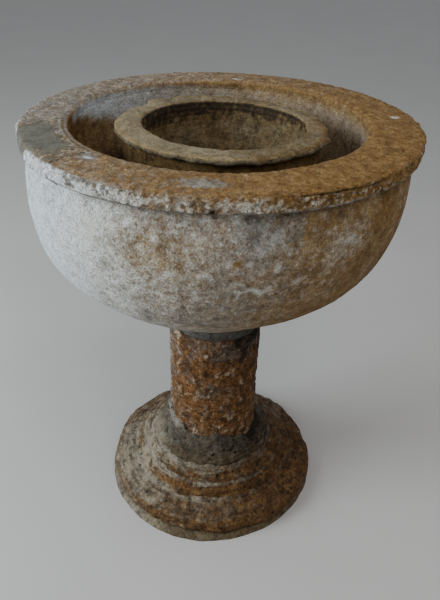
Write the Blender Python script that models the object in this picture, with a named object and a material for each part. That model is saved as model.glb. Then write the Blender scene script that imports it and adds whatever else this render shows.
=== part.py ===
"""Baptismal font: a stone bowl on a round shaft and a stepped base.

Metres, +Z up, the shaft's axis is the Z axis and the floor is z = 0.
The stones are bedded on mortar and pinned with iron dowels. A smaller stone
basin stands inside the bowl, and a lead pipe drains both through the middle
of the shaft. A wooden plug closes the inner basin and lifts straight out.
"""
import math

import bmesh
import bpy

GAP = 0.0003              # clearance left between pieces that touch

# Turned stone is faceted: wide pieces need more facets than narrow ones.
WIDE_SEGMENTS = 48
ROUND_SEGMENTS = 36
SMALL_SEGMENTS = 16

# Floor bed and base
BED_RADIUS = 0.303
BED_TOP = 0.010
BASE_RADIUS = 0.293
BASE_TOP = 0.134
BASE_SEAT_RADIUS = 0.161

# Shaft
SHAFT_RADIUS = 0.1186
SHAFT_BED_THICKNESS = 0.008
SHAFT_BOTTOM = BASE_TOP + SHAFT_BED_THICKNESS + 2 * GAP
SHAFT_TOP = 0.522
HAUNCH_TOP = 0.214
SHAFT_ARRIS = 0.003       # worn edge at the ends of the shaft

# Bowl
BOWL_BOTTOM = 0.557
BOWL_FOOT_RADIUS = 0.128
BOWL_FLOOR = 0.700
BOWL_FLOOR_RADIUS = 0.150
RIM_TOP = 1.0437
RIM_RADIUS = 0.430
RIM_INNER_RADIUS = 0.3235
RIM_BAND_HEIGHT = 0.032

# Repair to the outer edge of the rim
REPAIR_INNER_RADIUS = 0.346
REPAIR_DEPTH = 0.022
REPAIR_START = math.radians(195)
REPAIR_SWEEP = math.radians(24)

# Inner basin
BASIN_BOTTOM = 0.7355
BASIN_TOP = 1.0285
BASIN_RADIUS = 0.219
BASIN_FLANGE_RADIUS = 0.2355
BASIN_FLANGE_THICKNESS = 0.012
BASIN_MOUTH_RADIUS = 0.178
BASIN_FLOOR = 0.789
BASIN_BED_RADIUS = 0.122
BASIN_BED_HOLE = 0.052
WEEP_WIDTH = 0.040        # opening in the bed that lets trough water reach the drain

# Drain
PIPE_RADIUS = 0.0142
PIPE_BORE = 0.0100
PIPE_COLLAR_RADIUS = 0.0325
PIPE_COLLAR_THICKNESS = 0.004
PIPE_END = 0.003
REBATE_DEPTH = 0.006      # sinking in the bowl floor that takes the pipe's collar
DRAIN_TOP_RADIUS = 0.0195
DRAIN_BOTTOM_RADIUS = 0.0155

# Dowels: a pair at each end of the shaft, either side of the drain
DOWEL_RADIUS = 0.008
DOWEL_OFFSET = 0.062
LOWER_DOWEL_SPAN = (0.086, 0.196)
UPPER_DOWEL_SPAN = (0.470, 0.610)

HOLE_RADIUS = PIPE_RADIUS + GAP


def material(name, colour, roughness, metallic=0.0):
    """Principled material for one piece."""
    made = bpy.data.materials.new(name)
    made.use_nodes = True
    shader = made.node_tree.nodes["Principled BSDF"]
    shader.inputs["Base Color"].default_value = (*colour, 1.0)
    shader.inputs["Roughness"].default_value = roughness
    shader.inputs["Metallic"].default_value = metallic
    made.diffuse_color = (*colour, 1.0)
    return made


def finish(name, mesh_data, made):
    """Turn a bmesh into a named object with outward faces and round shading."""
    bmesh.ops.recalc_face_normals(mesh_data, faces=mesh_data.faces)
    for face in mesh_data.faces:
        face.smooth = True
    for edge in mesh_data.edges:
        edge.smooth = edge.calc_face_angle(0.0) < math.radians(35)
    mesh = bpy.data.meshes.new(name)
    mesh_data.to_mesh(mesh)
    mesh_data.free()
    piece = bpy.data.objects.new(name, mesh)
    bpy.context.collection.objects.link(piece)
    if made:
        mesh.materials.append(made)
    return piece


def ring(name, section, segments, made=None, start=0.0, sweep=math.tau):
    """Sweep a closed (radius, height) section round the Z axis."""
    whole = sweep > math.tau - 1e-6
    stations = segments if whole else segments + 1
    data = bmesh.new()
    loops = []
    for index in range(stations):
        angle = start + sweep * index / segments
        loops.append([data.verts.new((radius * math.cos(angle), radius * math.sin(angle), height))
                      for radius, height in section])
    count = len(section)
    for index in range(segments):
        here, there = loops[index], loops[(index + 1) % stations]
        for point in range(count):
            after = (point + 1) % count
            data.faces.new((here[point], there[point], there[after], here[after]))
    if not whole:
        data.faces.new(loops[0])
        data.faces.new(loops[-1])
    return finish(name, data, made)


def spindle(name, outline, segments, made=None, centre=(0.0, 0.0)):
    """Turn an open (radius, height) outline, bottom to top, into a solid closed on its axis."""
    data = bmesh.new()
    loops = []
    for radius, height in outline:
        if radius == 0.0:
            loops.append([data.verts.new((*centre, height))] * segments)
            continue
        loops.append([])
        for index in range(segments):
            angle = math.tau * (index + 0.5) / segments
            loops[-1].append(data.verts.new((centre[0] + radius * math.cos(angle),
                                             centre[1] + radius * math.sin(angle), height)))
    for lower, upper in zip(loops, loops[1:]):
        for index in range(segments):
            after = (index + 1) % segments
            corners = (lower[index], lower[after], upper[after], upper[index])
            data.faces.new(list(dict.fromkeys(corners)))
    return finish(name, data, made)


def box(name, low, high):
    """Axis-aligned box between two corners."""
    data = bmesh.new()
    bmesh.ops.create_cube(data, size=1.0)
    for vert in data.verts:
        for axis in range(3):
            vert.co[axis] = high[axis] if vert.co[axis] > 0 else low[axis]
    return finish(name, data, None)


def cutter(piece):
    """Mark an object as a tool that only shapes others."""
    piece.hide_render = True
    piece.display_type = "WIRE"
    return piece


def cut(piece, *tools):
    """Subtract each tool from a piece."""
    for tool in tools:
        step = piece.modifiers.new("cut_" + tool.name, "BOOLEAN")
        step.operation = "DIFFERENCE"
        step.solver = "EXACT"
        step.object = tool


def dowel(name, side, span, made):
    """Round iron dowel, and the slightly larger tool that cuts its socket."""
    centre = (side * DOWEL_OFFSET, 0.0)
    low, high = span
    pin = spindle(name, [(0.0, low), (DOWEL_RADIUS, low), (DOWEL_RADIUS, high), (0.0, high)],
                  SMALL_SEGMENTS, made, centre)
    wide = DOWEL_RADIUS + GAP
    low, high = low - GAP, high + GAP
    socket = spindle(name + "_socket", [(0.0, low), (wide, low), (wide, high), (0.0, high)],
                     SMALL_SEGMENTS, None, centre)
    return pin, cutter(socket)


def build_dowels():
    """Two dowels in each joint of the shaft. Returns the socket tools of each joint."""
    sockets = {}
    for level, span in (("lower", LOWER_DOWEL_SPAN), ("upper", UPPER_DOWEL_SPAN)):
        sockets[level] = []
        for word, side in (("left", -1), ("right", 1)):
            name = f"{level}_dowel_{word}"
            iron = material(name + "_iron", (0.10, 0.075, 0.06), 0.75, 1.0)
            sockets[level].append(dowel(name, side, span, iron)[1])
    return sockets


def build_base(lower_sockets):
    """Mortar bed on the floor, stepped base stone, shaft bed and haunching."""
    ring("floor_bed_mortar",
         [(HOLE_RADIUS, 0.0), (BED_RADIUS, 0.0), (BED_RADIUS - 0.003, 0.006),
          (BASE_RADIUS + 0.001, BED_TOP), (HOLE_RADIUS, BED_TOP)],
         ROUND_SEGMENTS, material("floor_bed_lime", (0.42, 0.36, 0.27), 0.95))

    base = ring(
        "stepped_base",
        [(HOLE_RADIUS, BED_TOP + GAP), (BASE_RADIUS - 0.003, BED_TOP + GAP),
         # bottom tier, a soft roll
         (BASE_RADIUS + 0.002, 0.022), (BASE_RADIUS - 0.004, 0.041), (0.268, 0.055), (0.238, 0.062),
         # middle tier
         (0.218, 0.074), (0.210, 0.094), (0.198, 0.103),
         # top tier, narrowing to the seat
         (0.187, 0.116), (0.173, 0.127), (BASE_SEAT_RADIUS, BASE_TOP),
         (HOLE_RADIUS, BASE_TOP)],
        ROUND_SEGMENTS, material("stepped_base_stone", (0.33, 0.22, 0.13), 0.92))
    cut(base, *lower_sockets)

    bed = ring("shaft_bed_mortar",
               [(HOLE_RADIUS, BASE_TOP + GAP), (SHAFT_RADIUS - 0.001, BASE_TOP + GAP),
                (SHAFT_RADIUS - 0.001, SHAFT_BOTTOM - GAP), (HOLE_RADIUS, SHAFT_BOTTOM - GAP)],
               ROUND_SEGMENTS, material("shaft_bed_lime", (0.40, 0.37, 0.32), 0.95))
    cut(bed, *lower_sockets)

    ring("shaft_haunching",
         [(SHAFT_RADIUS + GAP, BASE_TOP + GAP), (BASE_SEAT_RADIUS - 0.001, BASE_TOP + GAP),
          (0.149, 0.154), (0.137, 0.178), (0.127, 0.198), (SHAFT_RADIUS + 0.0025, HAUNCH_TOP),
          (SHAFT_RADIUS + GAP, HAUNCH_TOP)],
         ROUND_SEGMENTS, material("haunching_mortar", (0.25, 0.23, 0.19), 0.95))


def build_shaft(lower_sockets, upper_sockets):
    """Round shaft, drilled for the drain, and the mortar joint above it."""
    edge = SHAFT_RADIUS - SHAFT_ARRIS
    shaft = ring("shaft",
                 [(HOLE_RADIUS, SHAFT_BOTTOM), (edge, SHAFT_BOTTOM),
                  (SHAFT_RADIUS, SHAFT_BOTTOM + SHAFT_ARRIS),
                  (SHAFT_RADIUS, SHAFT_TOP - SHAFT_ARRIS),
                  (edge, SHAFT_TOP), (HOLE_RADIUS, SHAFT_TOP)],
                 ROUND_SEGMENTS, material("shaft_stone", (0.38, 0.20, 0.10), 0.92))
    cut(shaft, *lower_sockets, *upper_sockets)

    joint = ring("bowl_joint_mortar",
                 [(HOLE_RADIUS, SHAFT_TOP + GAP), (SHAFT_RADIUS - 0.001, SHAFT_TOP + GAP),
                  (SHAFT_RADIUS + 0.001, 0.540),
                  (SHAFT_RADIUS + 0.005, BOWL_BOTTOM - GAP), (HOLE_RADIUS, BOWL_BOTTOM - GAP)],
                 ROUND_SEGMENTS, material("bowl_joint_lime", (0.20, 0.18, 0.16), 0.95))
    cut(joint, *upper_sockets)


def build_bowl(upper_sockets):
    """Outer bowl with its projecting rim, and the mortar repair let into the rim."""
    band_bottom = RIM_TOP - RIM_BAND_HEIGHT
    outside = [(BOWL_FOOT_RADIUS, BOWL_BOTTOM), (0.158, 0.583), (0.212, 0.621), (0.268, 0.661),
               (0.322, 0.703), (0.362, 0.741), (0.391, 0.783), (0.409, 0.832), (0.418, 0.885),
               (0.420, 0.940), (0.416, 0.980), (0.410, band_bottom)]
    band = [(0.424, band_bottom + 0.001), (RIM_RADIUS, band_bottom + 0.009),
            (RIM_RADIUS, RIM_TOP - 0.007), (RIM_RADIUS - 0.006, RIM_TOP)]
    inside = [(RIM_INNER_RADIUS + 0.005, RIM_TOP), (RIM_INNER_RADIUS, RIM_TOP - 0.006),
              (0.3265, 0.990), (0.3265, 0.900), (0.319, 0.845), (0.300, 0.795), (0.264, 0.748),
              (0.212, 0.714), (BOWL_FLOOR_RADIUS, BOWL_FLOOR),
              (PIPE_COLLAR_RADIUS + GAP, BOWL_FLOOR),
              (PIPE_COLLAR_RADIUS + GAP, BOWL_FLOOR - REBATE_DEPTH),
              (HOLE_RADIUS, BOWL_FLOOR - REBATE_DEPTH), (HOLE_RADIUS, BOWL_BOTTOM)]
    bowl = ring("bowl", outside + band + inside, WIDE_SEGMENTS,
                material("bowl_stone", (0.46, 0.38, 0.32), 0.92))

    sector = dict(segments=6, start=REPAIR_START, sweep=REPAIR_SWEEP)
    floor = RIM_TOP - REPAIR_DEPTH
    ring("rim_repair_mortar",
         [(REPAIR_INNER_RADIUS, floor), (RIM_RADIUS, floor), (RIM_RADIUS, RIM_TOP - 0.007),
          (RIM_RADIUS - 0.006, RIM_TOP), (REPAIR_INNER_RADIUS, RIM_TOP)],
         made=material("rim_repair_lime", (0.30, 0.29, 0.23), 0.9), **sector)
    end_gap = GAP / REPAIR_INNER_RADIUS
    sector.update(start=REPAIR_START - end_gap, sweep=REPAIR_SWEEP + 2 * end_gap)
    pocket = ring("rim_repair_pocket",
                  [(REPAIR_INNER_RADIUS - GAP, floor - GAP), (RIM_RADIUS + 0.02, floor - GAP),
                   (RIM_RADIUS + 0.02, RIM_TOP + 0.02), (REPAIR_INNER_RADIUS - GAP, RIM_TOP + 0.02)],
                  **sector)
    cut(bowl, *upper_sockets, cutter(pocket))


def build_basin():
    """Inner basin standing on a mortar bed, with a drain hole in its floor."""
    flange_bottom = BASIN_TOP - BASIN_FLANGE_THICKNESS
    outside = [(DRAIN_BOTTOM_RADIUS, BASIN_BOTTOM), (BASIN_BED_RADIUS, BASIN_BOTTOM),
               (0.140, 0.744), (0.176, 0.774), (0.202, 0.817), (0.215, 0.875),
               (BASIN_RADIUS, 0.945), (BASIN_RADIUS, flange_bottom - 0.003)]
    flange = [(BASIN_FLANGE_RADIUS - 0.004, flange_bottom),
              (BASIN_FLANGE_RADIUS, flange_bottom + 0.004),
              (BASIN_FLANGE_RADIUS, BASIN_TOP - 0.003), (BASIN_FLANGE_RADIUS - 0.004, BASIN_TOP)]
    inside = [(BASIN_MOUTH_RADIUS + 0.008, BASIN_TOP), (BASIN_MOUTH_RADIUS, BASIN_TOP - 0.007),
              (0.180, 0.985), (0.180, 0.930), (0.171, 0.870), (0.148, 0.826), (0.108, 0.799),
              (0.060, 0.791), (DRAIN_TOP_RADIUS, BASIN_FLOOR)]
    ring("inner_basin", outside + flange + inside, ROUND_SEGMENTS,
         material("inner_basin_stone", (0.33, 0.28, 0.20), 0.92))

    bed = ring("basin_bed_mortar",
               [(BASIN_BED_HOLE, BOWL_FLOOR + GAP), (BASIN_BED_RADIUS + 0.013, BOWL_FLOOR + GAP),
                (BASIN_BED_RADIUS, BASIN_BOTTOM - GAP), (BASIN_BED_HOLE, BASIN_BOTTOM - GAP)],
               ROUND_SEGMENTS, material("basin_bed_lime", (0.38, 0.35, 0.30), 0.95))
    weep = box("weep_opening", (-WEEP_WIDTH / 2, -0.20, BOWL_FLOOR - 0.02),
               (WEEP_WIDTH / 2, 0.0, BASIN_BOTTOM + 0.02))
    cut(bed, cutter(weep))


def build_drain():
    """Lead pipe down through the stones, and the plug in the inner basin."""
    collar_top = BOWL_FLOOR - REBATE_DEPTH + GAP + PIPE_COLLAR_THICKNESS
    ring("drain_pipe",
         [(PIPE_BORE, PIPE_END), (PIPE_RADIUS, PIPE_END),
          (PIPE_RADIUS, collar_top - PIPE_COLLAR_THICKNESS),
          (PIPE_COLLAR_RADIUS, collar_top - PIPE_COLLAR_THICKNESS),
          (PIPE_COLLAR_RADIUS, collar_top), (PIPE_BORE + 0.003, collar_top),
          (PIPE_BORE, collar_top - 0.003)],
         SMALL_SEGMENTS, material("drain_pipe_lead", (0.22, 0.23, 0.25), 0.55, 1.0))

    slope = (DRAIN_TOP_RADIUS - DRAIN_BOTTOM_RADIUS) / (BASIN_FLOOR - BASIN_BOTTOM)
    plug_end = 0.746
    end_radius = DRAIN_BOTTOM_RADIUS + slope * (plug_end - BASIN_BOTTOM) - 2 * GAP
    spindle("drain_plug",
            [(0.0, plug_end), (end_radius - 0.001, plug_end), (end_radius, plug_end + 0.001),
             (DRAIN_TOP_RADIUS - 2 * GAP, BASIN_FLOOR), (DRAIN_TOP_RADIUS, 0.795),
             (0.0165, 0.800), (0.0085, 0.803), (0.0075, 0.809), (0.0125, 0.815), (0.0155, 0.822),
             (0.0140, 0.830), (0.0080, 0.835), (0.0, 0.836)],
            SMALL_SEGMENTS, material("drain_plug_wood", (0.24, 0.14, 0.07), 0.6))


def main():
    """Build every piece in an empty scene."""
    for old in list(bpy.data.objects):
        bpy.data.objects.remove(old, do_unlink=True)
    sockets = build_dowels()
    build_base(sockets["lower"])
    build_shaft(sockets["lower"], sockets["upper"])
    build_bowl(sockets["upper"])
    build_basin()
    build_drain()


main()
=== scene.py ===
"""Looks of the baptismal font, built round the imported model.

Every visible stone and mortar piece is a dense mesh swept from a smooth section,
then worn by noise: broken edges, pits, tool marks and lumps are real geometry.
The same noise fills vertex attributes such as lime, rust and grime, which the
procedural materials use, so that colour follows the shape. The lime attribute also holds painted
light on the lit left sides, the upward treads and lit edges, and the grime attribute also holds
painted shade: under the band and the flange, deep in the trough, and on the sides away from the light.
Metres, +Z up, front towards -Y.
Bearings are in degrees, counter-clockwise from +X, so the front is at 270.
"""
import math

import bpy
import numpy as np
from mathutils import Euler, Matrix, Vector


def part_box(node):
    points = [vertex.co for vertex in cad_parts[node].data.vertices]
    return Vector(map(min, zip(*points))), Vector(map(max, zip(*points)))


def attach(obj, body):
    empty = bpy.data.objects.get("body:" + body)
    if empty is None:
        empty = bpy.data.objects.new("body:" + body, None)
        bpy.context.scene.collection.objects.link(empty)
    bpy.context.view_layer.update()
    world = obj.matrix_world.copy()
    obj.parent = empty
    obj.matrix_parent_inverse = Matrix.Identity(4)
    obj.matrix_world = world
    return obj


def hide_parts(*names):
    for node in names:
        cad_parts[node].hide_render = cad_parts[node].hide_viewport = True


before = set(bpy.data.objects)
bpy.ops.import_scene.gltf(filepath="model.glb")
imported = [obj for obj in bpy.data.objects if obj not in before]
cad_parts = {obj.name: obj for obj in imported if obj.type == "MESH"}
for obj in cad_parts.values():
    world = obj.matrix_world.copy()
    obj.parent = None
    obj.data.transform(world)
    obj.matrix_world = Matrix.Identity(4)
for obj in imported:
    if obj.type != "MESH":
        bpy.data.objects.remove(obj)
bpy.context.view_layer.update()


def reach(node):
    """A round CAD node's outer radius, lowest and highest point."""
    low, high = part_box(node)
    return high[0], low[2], high[2]


RIM_RADIUS, BOWL_BOTTOM, RIM_TOP = reach("bowl")
BASIN_RADIUS, BASIN_BOTTOM, BASIN_TOP = reach("inner_basin")
SHAFT_RADIUS, SHAFT_BOTTOM, SHAFT_TOP = reach("shaft")
BASE_RADIUS, BASE_BOTTOM, BASE_TOP = reach("stepped_base")
HAUNCH_BOTTOM, HAUNCH_TOP = reach("shaft_haunching")[1:]
BED_RADIUS = reach("floor_bed_mortar")[0]

BAND_HEIGHT = 0.032       # the rim's projecting band
BAND_BOTTOM = RIM_TOP - BAND_HEIGHT
RIM_INNER = 0.3235
DRAIN_HOLE = 0.0145       # radius of the hole down the middle
FONT, PLUG = "font", "plug"

# Spacing of mesh rows: fine where the surface is seen close, coarse where it is hidden
FINEST, FINE, PLAIN, HIDDEN = 0.0021, 0.0030, 0.0052, 0.020

STAIN = (1.0, 0.84, 0.60)     # what rust does to the lime wash over it


# ---- noise

def scramble(cells, seed):
    """A random 32-bit number for each whole-number cell."""
    x, y, z = (cells[..., axis].astype(np.int64).astype(np.uint32) for axis in range(3))
    mixed = x * np.uint32(374761393) + y * np.uint32(668265263) + z * np.uint32(2246822519)
    mixed = mixed + np.uint32(seed * 144665 + 1013)
    mixed = (mixed ^ (mixed >> np.uint32(13))) * np.uint32(1274126177)
    mixed = (mixed ^ (mixed >> np.uint32(15))) * np.uint32(2654435761)
    return mixed ^ (mixed >> np.uint32(16))


def thirds(bits):
    """Three numbers from 0 to 1 out of each 32-bit number."""
    return np.stack([(bits >> np.uint32(shift)) & np.uint32(1023) for shift in (0, 10, 20)], -1) / 1023


def noise(points, size, seed=0):
    """Smooth gradient noise from about -1 to 1, with lumps of the given size."""
    scaled = points / size
    cell = np.floor(scaled)
    inside = scaled - cell
    fade = inside ** 3 * (inside * (inside * 6 - 15) + 10)
    total = np.zeros(len(points))
    for step in np.ndindex(2, 2, 2):
        step = np.array(step)
        slope = thirds(scramble(cell + step, seed)) * 2 - 1
        weight = np.prod(np.where(step, fade, 1 - fade), axis=1)
        total += weight * np.sum(slope * (inside - step), axis=1)
    return total * 1.4


def rough(points, size, seed=0, octaves=4, gain=0.55):
    """Several octaves of noise, each half the size of the last."""
    total, strength, most = np.zeros(len(points)), 1.0, 0.0
    for octave in range(octaves):
        total += strength * noise(points, size / 2 ** octave, seed + 17 * octave)
        most += strength
        strength *= gain
    return total / most * 1.5


def pebbles(points, size, seed=0):
    """Distance to the nearest of scattered centres (0 to 1) and that centre's random number."""
    scaled = points / size
    cell = np.floor(scaled)
    best = np.full(len(points), 9.0)
    label = np.zeros(len(points))
    for shift in np.ndindex(3, 3, 3):
        there = cell + np.array(shift) - 1
        away = np.linalg.norm(there + thirds(scramble(there, seed)) - scaled, axis=1)
        nearer = away < best
        best = np.where(nearer, away, best)
        label = np.where(nearer, scramble(there, seed + 7) / 2 ** 32, label)
    return np.minimum(best, 1.0), label


def ease(value, low, high):
    """0 below low, 1 above high, smooth between. Works falling too."""
    part = np.clip((value - low) / (high - low), 0, 1)
    return part * part * (3 - 2 * part)


# ---- swept meshes

class Surface:
    """Points of a closed section swept round Z, with what the wear functions need."""

    def __init__(self, section, around, start=0.0, sweep=360.0):
        outline = spaced(section)
        self.rows, self.around = len(outline), around
        self.whole = sweep >= 360.0
        steps = around if self.whole else around - 1
        turn = np.radians(start + sweep * np.arange(around) / steps)
        ahead, behind = np.roll(outline, -1, axis=0), np.roll(outline, 1, axis=0)
        tangent = ahead - behind
        tangent /= np.maximum(np.linalg.norm(tangent, axis=1, keepdims=True), 1e-9)
        grid = np.meshgrid(np.arange(self.rows), np.arange(around), indexing="ij")
        row, column = (index.ravel() for index in grid)
        self.radius, self.height = outline[row, 0], outline[row, 1]
        angle = turn[column]
        self.degrees = np.degrees(angle) % 360
        self.facing_out, self.facing_up = tangent[row, 1], -tangent[row, 0]
        self.outward = np.stack([np.cos(angle), np.sin(angle), np.zeros(len(row))], -1)
        self.points = self.outward * self.radius[:, None]
        self.points[:, 2] = self.height
        self.place = self.points.copy()
        self.normal = self.outward * self.facing_out[:, None]
        self.normal[:, 2] = self.facing_up
        self.lime_and_light = self.rust = self.grime_and_shade = self.broken = self.even = np.zeros(len(row))

    def push(self, depth):
        """Move every point along its normal."""
        self.points += self.normal * depth[:, None]

    def widen(self, amount):
        """Move every point away from the axis."""
        self.points += self.outward * amount[:, None]

    def lift(self, amount):
        """Move every point up."""
        self.points[:, 2] += amount

    def rough(self, size, seed, octaves=3, squash=1.0):
        """Rough noise at each point's first place, drawn out upwards by a squash below 1."""
        return rough(self.place * (1, 1, squash), size, seed, octaves)

    def banded(self, size, seed, along=6.0):
        """Rough noise drawn out along the rings that were cut or worn round the piece."""
        rings = self.outward * (self.radius.max() / along)
        rings[:, 2] = self.height - self.radius
        return rough(rings, size, seed)

    def scattered(self, size, seed, share, width=0.36):
        """1 at the middle of scattered spots, each about a third of the size across."""
        away, chance = pebbles(self.place, size, seed)
        return ease(away, width, width * 0.35) * ease(chance, 1 - share, 1 - share * 0.6)

    def near(self, degrees, height, across, tall):
        """1 at a place on the surface, falling to 0 at the edge of an oval round it."""
        turn = (self.degrees - degrees + 180) % 360 - 180
        sideways = np.radians(turn) * self.radius / across
        return ease(np.hypot(sideways, (self.height - height) / tall), 1.0, 0.0)

    def sector(self, low, high, soft=8.0):
        """1 between two bearings, with soft ends."""
        middle, half = (low + high) / 2, (high - low) / 2
        turn = np.abs((self.degrees - middle + 180) % 360 - 180)
        return ease(turn, half + soft, half - soft)

    def rise(self, low, high):
        """0 at one height, 1 at the other, smooth between."""
        return ease(self.height, low, high)

    def by_bearing(self, knots):
        """A value given at a few bearings, joined round the circle."""
        bearings, values = zip(*sorted(knots.items()))
        return np.interp(self.degrees, bearings, values, period=360)

    def mesh(self, name):
        """The finished object, with its masks as attributes."""
        index = np.arange(self.rows * self.around).reshape(self.rows, self.around)
        beside = np.roll(index, -1, axis=1)
        quads = np.stack([index, beside, np.roll(beside, -1, axis=0), np.roll(index, -1, axis=0)], -1)
        if self.whole:
            faces = quads.reshape(-1, 4).tolist()
        else:
            faces = quads[:, :-1].reshape(-1, 4).tolist()
            faces += [index[::-1, 0].tolist(), index[:, -1].tolist()]
        data = bpy.data.meshes.new(name)
        data.from_pydata(self.points.tolist(), [], faces)
        data.shade_smooth()
        for mask in ("lime_and_light", "rust", "grime_and_shade", "broken", "even"):
            layer = data.attributes.new(mask, "FLOAT", "POINT")
            layer.data.foreach_set("value", np.clip(getattr(self, mask), 0, 1).astype(np.float32))
        data.update()
        piece = bpy.data.objects.new(name, data)
        bpy.context.collection.objects.link(piece)
        return piece


def spaced(section):
    """Round a closed (radius, height, spacing) outline, then space its points evenly."""
    outline = np.array(section, float)
    for _ in range(3):
        ahead = np.roll(outline, -1, axis=0)
        outline = np.stack([outline * 0.75 + ahead * 0.25, outline * 0.25 + ahead * 0.75], 1)
        outline = outline.reshape(-1, 3)
    closed = np.vstack([outline, outline[:1]])
    length = np.linalg.norm(np.diff(closed[:, :2], axis=0), axis=1)
    wanted = length * 2 / (closed[:-1, 2] + closed[1:, 2])
    travelled = np.concatenate([[0], np.cumsum(wanted)])
    count = int(travelled[-1])
    stops = np.arange(count) * travelled[-1] / count
    return np.stack([np.interp(stops, travelled, closed[:, axis]) for axis in (0, 1)], -1)


def corner(radius, height, spacing, apart=0.00015):
    """Two points close together, which keep a corner from being rounded away."""
    return [(radius, height, spacing), (radius + apart, height + apart, spacing)]


def stretch(spacing, *places):
    """A stretch of outline whose (radius, height) places share one mesh spacing."""
    return [(*place, spacing) for place in places]


# ---- materials

class Paint:
    """Builds one procedural material on the object's own coordinates, in metres."""

    def __init__(self, name):
        self.material = bpy.data.materials.new(name)
        self.material.use_nodes = True
        self.tree = self.material.node_tree
        self.shader = self.tree.nodes["Principled BSDF"]
        self.place = self.node("TexCoord").outputs["Object"]

    def link(self, value, socket):
        """Connect an output, or set a plain value."""
        if isinstance(value, bpy.types.NodeSocket):
            self.tree.links.new(value, socket)
        else:
            socket.default_value = (*value, 1.0) if socket.type == "RGBA" else value

    def node(self, kind, inputs=None, **settings):
        """A new node with its settings made and its inputs linked or set."""
        node = self.tree.nodes.new("ShaderNode" + kind)
        for setting, value in settings.items():
            setattr(node, setting, value)
        for socket, value in (inputs or {}).items():
            self.link(value, node.inputs[socket])
        return node

    def noise(self, size, detail=3.0, roughness=0.6, shift=0.0, place=None):
        """Noise from 0 to 1 with lumps of the given size."""
        inputs = {"Vector": place or self.place, "W": shift, "Scale": 1 / size, "Detail": detail,
                  "Roughness": roughness}
        return self.node("TexNoise", inputs, noise_dimensions="4D").outputs["Fac"]

    def shaken(self, size, amount):
        """The coordinates pushed about by noise, which makes cells and cracks ragged."""
        push = self.node("TexNoise", {"Vector": self.place, "Scale": 1 / size}).outputs["Color"]
        inputs = {0: push, 1: (amount, amount, amount), 2: self.place}
        return self.node("VectorMath", inputs, operation="MULTIPLY_ADD").outputs[0]

    def cells(self, size, output="Distance", feature="F1", place=None):
        """Scattered cells of the given size."""
        inputs = {"Vector": place or self.place, "Scale": 1 / size}
        return self.node("TexVoronoi", inputs, feature=feature).outputs[output]

    def mask(self, name):
        """A vertex attribute."""
        return self.node("Attribute", attribute_name=name).outputs["Fac"]

    def ramp(self, value, low, high, first=0.0, last=1.0):
        """Smooth step between two values."""
        inputs = {"Value": value, "From Min": low, "From Max": high, "To Min": first, "To Max": last}
        return self.node("MapRange", inputs, interpolation_type="SMOOTHSTEP").outputs[0]

    def shades(self, value, colours, low=0.35, high=0.65):
        """Colours spread evenly from one value to another."""
        node = self.node("ValToRGB", {0: value})
        stops = node.color_ramp.elements
        for number, colour in enumerate(colours):
            place = low + (high - low) * number / (len(colours) - 1)
            stop = stops[number] if number < 2 else stops.new(place)
            stop.position, stop.color = place, (*colour, 1.0)
        return node.outputs[0]

    def math(self, operation, first, second, third=0.0):
        """One arithmetic step."""
        return self.node("Math", {0: first, 1: second, 2: third}, operation=operation).outputs[0]

    def around(self, value, texture, amount):
        """A value moved up and down by a texture whose middle is 0.5."""
        moved = self.math("MULTIPLY_ADD", texture, amount, -amount / 2)
        return self.math("ADD", value, moved)

    def mix(self, amount, first, second, blend="MIX"):
        """Blend two colours."""
        inputs = {0: amount, 6: first, 7: second}
        return self.node("Mix", inputs, data_type="RGBA", blend_type=blend).outputs[2]

    def finish(self, colour, roughness, height, distance=0.001, strength=0.8):
        """Wire colour, roughness and bump to the shader."""
        bump = self.node("Bump", {"Distance": distance, "Strength": strength, "Height": height})
        for socket, value in (("Base Color", colour), ("Roughness", roughness),
                              ("Normal", bump.outputs["Normal"]), ("Specular IOR Level", 0.25)):
            self.link(value, self.shader.inputs[socket])
        return self.material


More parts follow.
